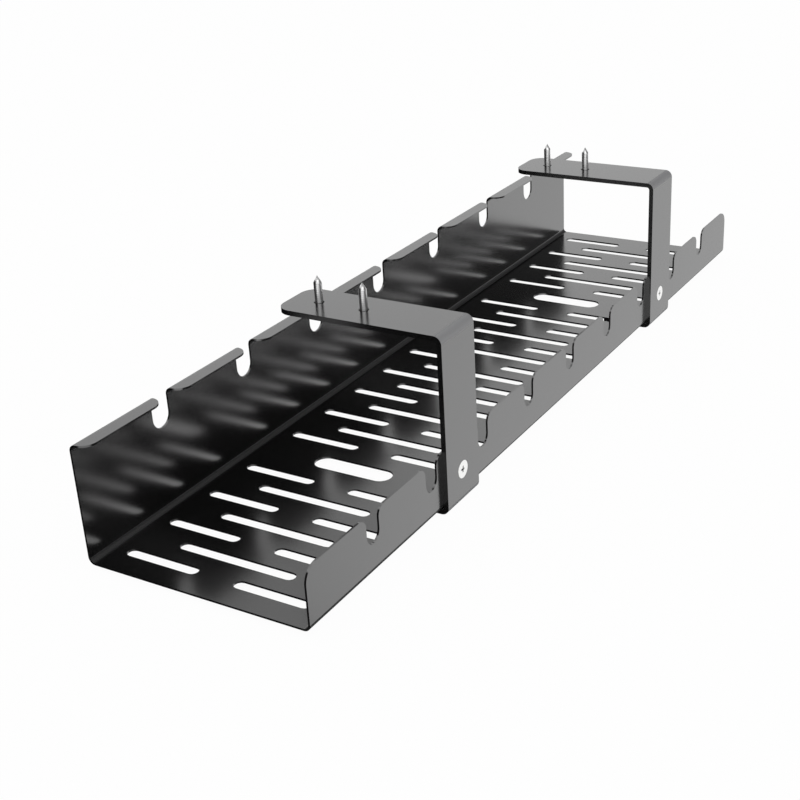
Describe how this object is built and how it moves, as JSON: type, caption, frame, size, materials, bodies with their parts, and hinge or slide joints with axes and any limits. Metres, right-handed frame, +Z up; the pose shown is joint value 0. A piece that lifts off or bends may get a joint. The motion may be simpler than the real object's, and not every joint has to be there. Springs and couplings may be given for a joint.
{
  "type": "under-desk cable tray",
  "caption": "Black steel cable tray of bent slotted sheet with notched walls, held by bent strip brackets that screw up into a desk.",
  "frame": {"origin": "middle of the rectangle of the four wood screws, on the plane of the bracket leaves' top faces, where the desk's underside lies", "axes": "+X along the tray towards the bracket that stands further off in the picture, +Y from the low front wall to the tall back wall, +Z up into the desk"},
  "size_m": [0.5, 0.1225, 0.1035],
  "materials": {
    "black_steel": "smooth semi-gloss black powder coat",
    "fixing_screw_nickel": "bright nickel plate",
    "wood_screw_steel": "bright zinc plate"
  },
  "bodies": {
    "root": {"tray": "black_steel", "bracket_left": "black_steel", "fixing_screw_left": "fixing_screw_nickel", "bracket_right": "black_steel", "fixing_screw_right": "fixing_screw_nickel", "wood_screw_left_back": "wood_screw_steel", "wood_screw_left_front": "wood_screw_steel", "wood_screw_right_back": "wood_screw_steel", "wood_screw_right_front": "wood_screw_steel"}
  },
  "joints": []
}
